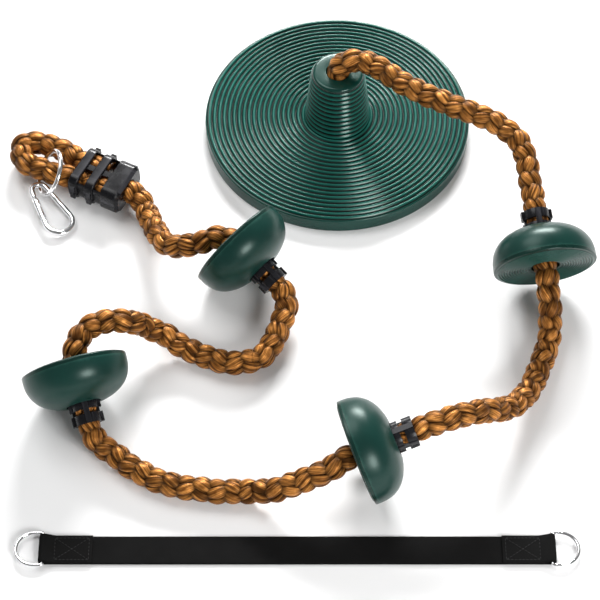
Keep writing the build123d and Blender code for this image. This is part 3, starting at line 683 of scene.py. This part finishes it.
def strand(route, squeeze, hand, index):
    """Points, heights and fibre coordinates of one strand, ring by ring."""
    centre, out, wave = strand_centre(route, squeeze, hand, index)
    way = unit(np.gradient(centre, axis=0))
    wide = unit(np.cross(way, out))
    top = np.cross(wide, way)
    along = route.along[:, None]
    around = np.linspace(0, 2 * math.pi, STRAND_SIDES, endpoint=False)
    swell = (1 + STRAND_SWELL * wave) * squeeze
    yarns = STRAND_YARNS * around[None, :] + STRAND_YARN_TWIST * along * hand
    size = swell[:, None] * (1 + STRAND_YARN_DEPTH * np.abs(np.sin(yarns / 2)))
    across = STRAND_HALF_WIDTH * size * np.cos(around)
    over = STRAND_HALF_THICK * size * np.sin(around)
    points = centre[:, None] + wide[:, None] * across[..., None] + top[:, None] * over[..., None]
    radius = np.linalg.norm(points - route.points[:, None], axis=2) / squeeze[:, None]
    # This height drives the shade painted deep down in the braid
    height = np.clip((radius - GROOVE_R) / (CREST_R - GROOVE_R), 0, 1)
    twisted = around[None, :] + STRAND_YARN_TWIST / STRAND_YARNS * along * hand
    own_stretch = index * FIBRE_SHIFT + hand
    fibre = np.stack([
        STRAND_HALF_WIDTH * np.cos(twisted),
        STRAND_HALF_WIDTH * np.sin(twisted),
        np.broadcast_to(along + own_stretch, twisted.shape),
    ], axis=2)
    return points, height, fibre


def core(route, squeeze):
    """The plain core that closes the gaps between the strands; its height of 0 paints it wholly in
    the groove shade.
    """
    around = np.linspace(0, 2 * math.pi, STRAND_SIDES, endpoint=False)
    out = (np.cos(around)[None, :, None] * route.sides[:, None]
           + np.sin(around)[None, :, None] * route.ups[:, None])
    points = route.points[:, None] + out * (CORE_R * squeeze)[:, None, None]
    height = np.zeros(points.shape[:2])
    return points, height, points.copy()


def braid_piece(name, tubes, first, last, material):
    """One length of the braid, between two points of the route, its strands closed at both ends."""
    points, heights, fibres, faces = [], [], [], []
    count = 0
    rings = last - first + 1
    for tube_points, tube_heights, tube_fibres in tubes:
        points.append(tube_points[first:last + 1].reshape(-1, 3))
        heights.append(tube_heights[first:last + 1].ravel())
        fibres.append(tube_fibres[first:last + 1].reshape(-1, 3))
        faces += closed_tube_faces(rings, STRAND_SIDES, count)
        count += rings * STRAND_SIDES
    piece = new_object(name, np.concatenate(points), faces, material)
    set_attribute(piece, "height", np.concatenate(heights), "FLOAT")
    set_attribute(piece, "fibre", np.concatenate(fibres), "FLOAT_VECTOR")
    return piece


def rope_cuts(route):
    """Where the braid is cut into pieces: inside clips and the clamp, and halfway between bends."""
    def under_clip(clip):
        return route.nearest(clip_centre(clip))

    def between(bend, next_bend):
        return (route.nearest(pivot(bend)) + route.nearest(pivot(next_bend))) // 2

    clamp = pair_centre("end_clamp_top", "end_clamp_bottom")
    last_bend = route.nearest(pivot("rope_bend_5"))
    to_clamp = np.linalg.norm(route.points[last_bend:] - np.array(clamp), axis=1)
    in_clamp = last_bend + int(np.argmax(to_clamp < CLAMP_CUT_FROM_CENTRE))
    return [
        0,
        under_clip("clip_1"),
        under_clip("clip_2"),
        between("rope_bend_3", "rope_turn_1"),
        under_clip("clip_3"),
        between("rope_turn_2", "rope_bend_4"),
        under_clip("clip_4"),
        in_clamp,
        len(route.points) - 1,
    ]


def build_rope(material):
    route = Route()
    squeeze = clip_squeeze(route)
    tubes = [strand(route, squeeze, hand, index) for hand in (1, -1)
             for index in range(STRANDS_EACH_WAY)]
    tubes.append(core(route, squeeze))
    cuts = rope_cuts(route)
    for index, (first, last) in enumerate(zip(cuts, cuts[1:])):
        piece = braid_piece(f"braid_{index + 1}", tubes, first, last, material)
        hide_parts(ROPE_NODES[index])
        if index < len(BENDS):
            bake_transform(piece)
        else:
            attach(piece, "line_7")
    return route


def sealed_end(name, centre, way, body, material):
    """The rope's cut end, melted together into a lumpy, slightly domed plug."""
    side = way.orthogonal().normalized()
    up = way.cross(side)
    points = []
    for ring in range(SEAL_RINGS):
        share = ring / (SEAL_RINGS - 1)
        domed = math.sqrt(max(0.0, 1 - (2 * share - 1) ** 4))
        radius = SEAL_R * min(1.0, domed + SEAL_END_SHARE)
        for index in range(SEAL_SIDES):
            turn = 2 * math.pi * index / SEAL_SIDES
            even = SEAL_LUMPS * math.sin(8 * turn)
            skewed = SEAL_SKEWED_LUMPS * math.sin(3 * turn + 5 * share)
            lump = 1 + even + skewed
            out = (side * math.cos(turn) + up * math.sin(turn)) * radius * lump
            points.append(centre + out + way * SEAL_THICK * (share - 0.5))
    piece = new_object(name, points, closed_tube_faces(SEAL_RINGS, SEAL_SIDES), material)
    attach(piece, body)


# Turned green pieces


def ridges(start, end, count, height):
    """Rounded ridges with wider valleys, standing out to the left of the way from start to end."""
    start, end = np.array(start), np.array(end)
    step = (end - start) / count
    out = np.array((-step[1], step[0])) / np.linalg.norm(step)
    stops = np.arange(count * RIDGE_STEPS + 1) / RIDGE_STEPS
    lift = height * np.sin(np.pi * stops) ** 2
    points = start + step * stops[:, None] + out * lift[:, None]
    unrounded = 0.0
    return [(r, z, unrounded) for r, z in points]


def rounded(corners):
    """A closed outline through corners given as radius, height and how far to round them."""
    points = []
    for index, (r, z, rounding) in enumerate(corners):
        here = np.array((r, z))
        if not rounding:
            points.append(here)
            continue
        before = np.array(corners[index - 1][:2]) - here
        after = np.array(corners[(index + 1) % len(corners)][:2]) - here
        first = here + before / np.linalg.norm(before) * rounding
        last = here + after / np.linalg.norm(after) * rounding
        for share in np.linspace(0, 1, CORNER_STEPS):
            rest = 1 - share
            points.append(rest * rest * first + 2 * rest * share * here + share * share * last)
    return np.array(points) * MM


# The green material paints shade into the valleys from these values
def crests(outline, start, end, height):
    """How far up a ridge each point of an outline lies: 0 in a valley, 1 on a crest.

    Points beside the ridged stretch, or further off it than RIDGE_SPARE ridge heights, are plain.
    """
    start, way = np.array(start) * MM, (np.array(end) - np.array(start)) * MM
    length = np.linalg.norm(way)
    way /= length
    along = (outline - start) @ way
    lift = (outline - start) @ np.array((-way[1], way[0])) / (height * MM)
    on_ridges = (along > 0) & (along < length) & (np.abs(lift) < RIDGE_SPARE)
    return np.where(on_ridges, np.clip(lift, 0, 1), PLAIN_CREST)


def turned(outline, sides, place, way):
    """Points and faces of an outline, clockwise in radius and height, turned about an axis."""
    outline = outline[::-1]
    side = way.orthogonal().normalized()
    up = np.array(way.cross(side))
    around = np.linspace(0, 2 * math.pi, sides, endpoint=False)[:, None]
    out = np.cos(around) * np.array(side) + np.sin(around) * up
    radii, heights = outline[:, 0], outline[:, 1]
    points = np.array(place) + radii[:, None, None] * out + heights[:, None, None] * np.array(way)
    ring = np.arange(len(outline))[:, None] * sides
    next_ring = np.roll(ring, -1, axis=0)
    side_index = np.arange(sides)[None, :]
    after = (side_index + 1) % sides
    corners = [ring + side_index, ring + after, next_ring + after, next_ring + side_index]
    faces = np.stack([np.broadcast_to(c, (len(outline), sides)).ravel() for c in corners], axis=1)
    return points.reshape(-1, 3), faces


def seat_underside(radius):
    share = (radius - HUB_BASE[0]) / (SEAT_RIM[0] - HUB_BASE[0])
    return HUB_BASE[1] + (SEAT_RIM[1] - HUB_BASE[1]) * share - SEAT_WALL


def seat_outline():
    """Up the bore, over the hub and the disc, and back along the underside and its ring ribs."""
    skirt_r = SEAT_RIM[0] - SEAT_WALL
    corners = [
        (SEAT_BORE_R, HUB_ROOF_Z, BORE_FOOT_ROUNDING),
        (SEAT_BORE_R, HUB_TOP[1], BORE_MOUTH_ROUNDING),
        (*HUB_TOP, HUB_TOP_ROUNDING),
        *ridges(HUB_SIDE, HUB_BASE, HUB_RIDGES, HUB_RIDGE_HEIGHT)[1:],
        *ridges(HUB_BASE, RIM_START, SEAT_RIDGES, SEAT_RIDGE_HEIGHT)[1:],
        (*SEAT_RIM, SEAT_RIM_ROUNDING * RIM_ROUNDING_SHARE),
        (SEAT_RIM[0], 0.0, SKIRT_FOOT_ROUNDING),
        (skirt_r, 0.0, SKIRT_FOOT_ROUNDING),
        (skirt_r, seat_underside(skirt_r), SKIRT_TOP_ROUNDING),
    ]
    for radius in SEAT_RIBS:
        outer, inner = radius + RIB_THICK / 2, radius - RIB_THICK / 2
        corners += [
            (outer, seat_underside(outer), RIB_EDGE),
            (outer, RIB_BOTTOM_Z, RIB_EDGE),
            (inner, RIB_BOTTOM_Z, RIB_EDGE),
            (inner, seat_underside(inner), RIB_EDGE),
        ]
    corners += [
        (HUB_BASE[0] - HUB_WALL, HUB_BASE[1] - SEAT_WALL, HUB_FOOT_ROUNDING),
        (HUB_TOP[0] - HUB_WALL, HUB_ROOF_Z, HUB_ROOF_ROUNDING),
    ]
    return rounded(corners)


def spoke_section(radius):
    """A rib's cross-section at a radius, as distance across it and height; six corners."""
    half = RIB_THICK / 2
    edge = half - RIB_EDGE
    top = seat_underside(radius) + SPOKE_OVERLAP
    bevel = RIB_BOTTOM_Z + RIB_EDGE
    one_side = [(half, top), (half, bevel), (edge, RIB_BOTTOM_Z)]
    return one_side + [(-across, height) for across, height in reversed(one_side)]


def seat_spokes(first):
    """Straight ribs under the disc, their lower edges bevelled, their tops inside its wall."""
    inner_r = HUB_BASE[0] - HUB_WALL - SPOKE_OVERLAP
    outer_r = SEAT_RIM[0] - SEAT_WALL + SPOKE_OVERLAP
    points, faces = [], []
    for index in range(SEAT_SPOKES):
        turn = 2 * math.pi * index / SEAT_SPOKES
        out = np.array((math.cos(turn), math.sin(turn)))
        across = np.array((-out[1], out[0]))
        start = first + len(points)
        for radius in (inner_r, outer_r):
            points += [(*(out * radius + across * y), z) for y, z in spoke_section(radius)]
        faces += closed_tube_faces(2, 6, start)
    return np.array(points) * MM, faces


def build_seat(material):
    outline = seat_outline()
    points, faces = turned(outline, SEAT_SIDES, (0, 0, 0), Vector((0, 0, 1)))
    # The crest values set how much painted valley shade each point of the seat takes
    on_hub = crests(outline, HUB_SIDE, HUB_BASE, HUB_RIDGE_HEIGHT)
    on_disc = crests(outline, HUB_BASE, RIM_START, SEAT_RIDGE_HEIGHT)
    crest = np.where(on_hub == PLAIN_CREST, on_disc, on_hub)
    spoke_points, spoke_faces = seat_spokes(len(points))
    points = np.concatenate([points, spoke_points])
    piece = new_object("seat_ridged", points, [*faces, *spoke_faces], material)
    on_spokes = np.full(len(spoke_points), PLAIN_CREST)
    crest = np.concatenate([np.repeat(crest[::-1], SEAT_SIDES), on_spokes])
    set_attribute(piece, "crest", crest, "FLOAT")
    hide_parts("seat_disc")
    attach(piece, "seat")


def tread_outline():
    """Up the bore, out over the ridged face, and back under it round its lip."""
    lip_in, lip_out = TREAD_LIP
    return rounded([
        (TREAD_BORE_R, -TREAD_THICK, BORE_FOOT_ROUNDING),
        (TREAD_BORE_R, 0.0, BORE_MOUTH_ROUNDING),
        *ridges(TREAD_FIRST, TREAD_LAST, TREAD_RIDGES, TREAD_RIDGE_HEIGHT),
        (TREAD_R, 0.0, TREAD_RIM_ROUNDING),
        (TREAD_R, -TREAD_THICK, SMALL_ROUNDING),
        (lip_out, -TREAD_THICK, SMALL_ROUNDING),
        (lip_out, -TREAD_LIP_DEPTH, TREAD_LIP_ROUNDING),
        (lip_in, -TREAD_LIP_DEPTH, TREAD_LIP_ROUNDING),
        (lip_in, -TREAD_THICK, SMALL_ROUNDING),
    ])


def build_treads(material):
    outline = tread_outline()
    # The crest values set how much painted valley shade each point of a tread takes
    crest = crests(outline, TREAD_FIRST, TREAD_LAST, TREAD_RIDGE_HEIGHT)
    crest = np.repeat(crest[::-1], TREAD_SIDES)
    for number in range(1, 5):
        spin = f"platform_{number}_spin"
        points, faces = turned(outline, TREAD_SIDES, pivot(spin), axis(spin))
        piece = new_object(f"tread_ridged_{number}", points, faces, material)
        set_attribute(piece, "crest", crest, "FLOAT")
        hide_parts(f"platform_{number}_tread")
        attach(piece, f"platform_{number}")


# Moulded and plated pieces that keep their CAD shape


def finish_node(node, material, bevel=0.0):
    """Gives a CAD node its material and, where it is sharp, small rounded edges."""
    obj = frame["nodes"][node]
    obj.data.materials.clear()
    obj.data.materials.append(material)
    if bevel:
        weld = obj.modifiers.new("weld", "WELD")
        weld.merge_threshold = WELD_GAP
        edge = obj.modifiers.new("edges", "BEVEL")
        edge.width = bevel
        edge.segments = BEVEL_SEGMENTS
        edge.limit_method = "ANGLE"
        edge.angle_limit = math.radians(BEVEL_ANGLE)
        edge.harden_normals = True


def finish_nodes(materials):
    for node in frame["nodes"]:
        if node.startswith(("clip_", "seat_clip_")):
            finish_node(node, materials["black"], CLIP_BEVEL)
        elif node.startswith("end_clamp_"):
            finish_node(node, materials["black"], CLAMP_BEVEL)
        elif node.endswith("_dome"):
            finish_node(node, materials["green"])
        elif node == "hub_washer":
            finish_node(node, materials["zinc"], WASHER_BEVEL)
        elif node == "carabiner_gate_spring":
            finish_node(node, materials["spring"])
        elif node.startswith(("carabiner_", "hanging_", "d_ring_")):
            finish_node(node, materials["chrome"])


# Hanging strap


def half_strap_line(side, outward):
    """From the strap's middle, round one D-ring's bar and back over itself, as X and height."""
    bar = pivot(f"d_ring_{side}_pivot")
    half = STRAP_THICK / 2
    eye_r = bar.z - half
    points = [(pivot("strap_fold").x, half)]
    for index in range(EYE_STEPS + 1):
        turn = math.radians(-90 + (180 + EYE_SLOPE) * index / EYE_STEPS)
        points.append((bar.x + outward * eye_r * math.cos(turn), bar.z + eye_r * math.sin(turn)))
    lap_z = 3 * half
    drop = points[-1][1] - lap_z
    meet_x = points[-1][0] - outward * drop / math.tan(math.radians(EYE_SLOPE))
    points.append((meet_x, lap_z))
    points.append((bar.x - outward * STRAP_SEWN, lap_z))
    return points


def strap_line():
    """The whole webbing's centre line, from one sewn end to the other, in the XZ plane."""
    left = half_strap_line("left", -1)
    right = half_strap_line("right", 1)
    return np.array([(x, 0.0, z) for x, z in left[::-1] + right[1:]])


def webbing_surface():
    """Points of the woven strip, ring by ring, with their weave coordinates and thread heights."""
    line = smooth_line(strap_line(), WEAVE_STEP, STRAP_SOFTENING)
    low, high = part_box("strap_webbing_left")
    centre_y = ((low + high) / 2).y
    half_width = (high.y - low.y) / 2 - WEAVE_DEPTH
    tangents = unit(np.gradient(line, axis=0))
    normals = np.stack([-tangents[:, 2], np.zeros(len(line)), tangents[:, 0]], axis=1)
    along = np.arange(len(line)) * WEAVE_STEP
    columns = 2 * WEAVE_COLUMNS + 1
    across = np.linspace(-1, 1, columns)
    around = np.concatenate([across, across[::-1]])
    sign = np.concatenate([np.ones(columns), -np.ones(columns)])
    edge = np.abs(around) ** STRAP_EDGE_POWER
    thick = (STRAP_THICK / 2 - WEAVE_DEPTH) * (1 - STRAP_EDGE_THINNING * edge)
    rows = 2 * math.pi * along[:, None] / WEAVE_PITCH
    warp = np.abs(np.sin(rows / 2 + math.pi / 2 * np.round(around[None, :] * WEAVE_COLUMNS)))
    lift = WEAVE_DEPTH * warp * (1 - edge)
    offset = sign[None, :] * (thick[None, :] + lift)
    points = line[:, None] + normals[:, None] * offset[..., None]
    points[..., 1] = centre_y + around[None, :] * half_width
    weave = np.stack([
        np.broadcast_to(along[:, None], warp.shape),
        np.broadcast_to(around[None, :] * half_width, warp.shape),
        np.broadcast_to(sign[None, :] * WEAVE_SIDE_SHIFT, warp.shape),
    ], axis=2)
    return points, weave, warp


def strap_webbing(material):
    """One strip of webbing with its weave in the surface, folded round both D-rings."""
    points, weave, warp = webbing_surface()
    faces = closed_tube_faces(*warp.shape)
    piece = new_object("strap_webbing", points.reshape(-1, 3), faces, material)
    set_attribute(piece, "weave", weave.reshape(-1, 3), "FLOAT_VECTOR")
    set_attribute(piece, "height", warp.ravel(), "FLOAT")
    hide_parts("strap_webbing_left", "strap_webbing_right")
    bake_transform(piece)


def stitch_run(start, end):
    """Places and directions of the stitches along one straight seam."""
    way = end - start
    count = max(2, int(round(way.length / STITCH_PITCH)))
    return [(start + way * ((index + 0.5) / count), way.normalized()) for index in range(count)]


def stitch_points(place, way):
    """Rings of points round one stitch: thread that arches up out of the webbing and back in."""
    side, up = way.cross(Vector((0, 0, 1))), Vector((0, 0, 1))
    points = []
    for ring in range(THREAD_RINGS):
        share = ring / (THREAD_RINGS - 1)
        arch = math.sin(math.pi * share)
        middle = place + way * (share - 0.5) * STITCH_LENGTH
        middle.z += THREAD_R * (THREAD_RISE * arch - THREAD_SINK)
        radius = THREAD_R * (THREAD_TIP + (1 - THREAD_TIP) * arch)
        for index in range(THREAD_SIDES):
            turn = 2 * math.pi * index / THREAD_SIDES
            out = side * math.cos(turn) + up * math.sin(turn)
            points.append(middle + out * radius)
    return points


def seam_lines(bar, outward):
    """The straight seams of a sewn box with a cross in it, on top of the strap's lap."""
    top = 2 * STRAP_THICK
    near = bar.x - outward * SEAM_FROM_BAR
    far = bar.x - outward * (STRAP_SEWN - SEAM_INSET)
    low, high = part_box("strap_webbing_left")
    front, back = low.y + SEAM_INSET, high.y - SEAM_INSET
    around = ((near, front), (far, front), (far, back), (near, back))
    corners = [Vector((x, y, top)) for x, y in around]
    box = [(corners[k], corners[(k + 1) % 4]) for k in range(4)]
    cross = [(corners[0], corners[2]), (corners[1], corners[3])]
    return box + cross


def strap_stitching(side, outward, material):
    bar = pivot(f"d_ring_{side}_pivot")
    points, faces = [], []
    for start, end in seam_lines(bar, outward):
        for place, way in stitch_run(start, end):
            faces += closed_tube_faces(THREAD_RINGS, THREAD_SIDES, len(points))
            points += stitch_points(place, way)
    piece = new_object(f"strap_stitching_{side}", points, faces, material)
    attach(piece, f"strap_{side}")


# Studio


def area_light(name, place, target, width, height, power):
    data = bpy.data.lights.new(name, "AREA")
    data.shape = "RECTANGLE"
    data.size = width
    data.size_y = height
    data.energy = power
    light = bpy.data.objects.new(name, data)
    light.location = place
    light.rotation_euler = (Vector(target) - Vector(place)).to_track_quat("-Z", "Y").to_euler()
    bpy.context.scene.collection.objects.link(light)


def studio_walls():
    """A grey surround, bright near the ground and darker overhead, that the camera sees as pale."""
    world = bpy.data.worlds.new("studio")
    bpy.context.scene.world = world
    world.use_nodes = True
    nodes, links = world.node_tree.nodes, world.node_tree.links
    place = nodes.new("ShaderNodeTexCoord")
    split = nodes.new("ShaderNodeSeparateXYZ")
    shade = nodes.new("ShaderNodeMapRange")
    shade.inputs["From Min"].default_value = WALL_LOW_TILL
    shade.inputs["From Max"].default_value = WALL_HIGH_FROM
    shade.inputs["To Min"].default_value = WALL_LOW
    shade.inputs["To Max"].default_value = WALL_HIGH
    links.new(place.outputs["Generated"], split.inputs[0])
    links.new(split.outputs["Z"], shade.inputs["Value"])
    links.new(shade.outputs[0], nodes["Background"].inputs["Strength"])
    nodes["Background"].inputs["Color"].default_value = WALL_WHITE
    backdrop = nodes.new("ShaderNodeBackground")
    backdrop.inputs["Color"].default_value = BACKDROP_PALE
    seen = nodes.new("ShaderNodeMixShader")
    links.new(nodes.new("ShaderNodeLightPath").outputs["Is Camera Ray"], seen.inputs["Fac"])
    links.new(nodes["Background"].outputs[0], seen.inputs[1])
    links.new(backdrop.outputs[0], seen.inputs[2])
    links.new(seen.outputs[0], nodes["World Output"].inputs["Surface"])


def floor():
    shader = Shader("pale_floor")
    shader.set(base_color=FLOOR_PALE, roughness=0.7, specular_ior_level=0.2)
    reach = FLOOR_REACH
    corners = [(-reach, -reach), (reach, -reach), (reach, reach), (-reach, reach)]
    points = [(x, y, FLOOR_Z) for x, y in corners]
    new_object("floor", points, [(0, 1, 2, 3)], shader.material)


def studio():
    studio_walls()
    area_light("front", (0.96, -1.89, 1.13), (0, -0.25, 0), width=0.75, height=0.75, power=32)
    area_light("top", (-0.95, 0.6, 2.2), (0, -0.25, 0), width=1.4, height=1.4, power=27)
    area_light("back", (0.15, 1.65, 1.2), (0, 0.0, 0), width=1.0, height=0.4, power=75)
    floor()


def camera():
    data = bpy.data.cameras.new("camera")
    data.sensor_width = CAMERA_SENSOR
    data.lens = CAMERA_LENS
    data.clip_end = CAMERA_REACH
    obj = bpy.data.objects.new("camera", data)
    obj.location = CAMERA_PLACE
    obj.rotation_euler = (math.radians(90 - CAMERA_DOWN), 0, 0)
    bpy.context.scene.collection.objects.link(obj)
    bpy.context.scene.camera = obj
    bpy.context.scene.view_settings.view_transform = "Standard"


def make_materials():
    return {
        "rope": rope_material(),
        "green": green_plastic("green_plastic", DOME_GREENS, 0.3, 0.34),
        # The seat's green is a brighter copy of the dome green: painted light
        "seat_green_lit": green_plastic("green_seat_lit", SEAT_GREENS_LIT, 0.2, 0.42, ridged=True),
        "tread_green": green_plastic("green_tread", TREAD_GREENS, 0.25, 0.4, ridged=True),
        "black": black_plastic(),
        "chrome": metal("chrome", CHROME, 0.12, 0.18),
        "zinc": metal("zinc_steel", ZINC, 0.28, 0.4, brushed=True),
        "spring": metal("spring_steel", SPRING_STEEL, 0.25, 0.35),
        "webbing": webbing_material(),
        "thread": thread_material(),
        "melted": melted_rope_material(),
    }


def main():
    materials = make_materials()
    route = build_rope(materials["rope"])
    for name, index, body in (("rope_end_in_hub", 0, "rope_foot"), ("rope_tail_end", -1, "line_7")):
        place, way = Vector(route.points[index]), Vector(route.tangents[index])
        sealed_end(name, place, way, body, materials["melted"])
    build_seat(materials["seat_green_lit"])
    build_treads(materials["tread_green"])
    finish_nodes(materials)
    strap_webbing(materials["webbing"])
    strap_stitching("left", -1, materials["thread"])
    strap_stitching("right", 1, materials["thread"])
    studio()
    camera()


main()
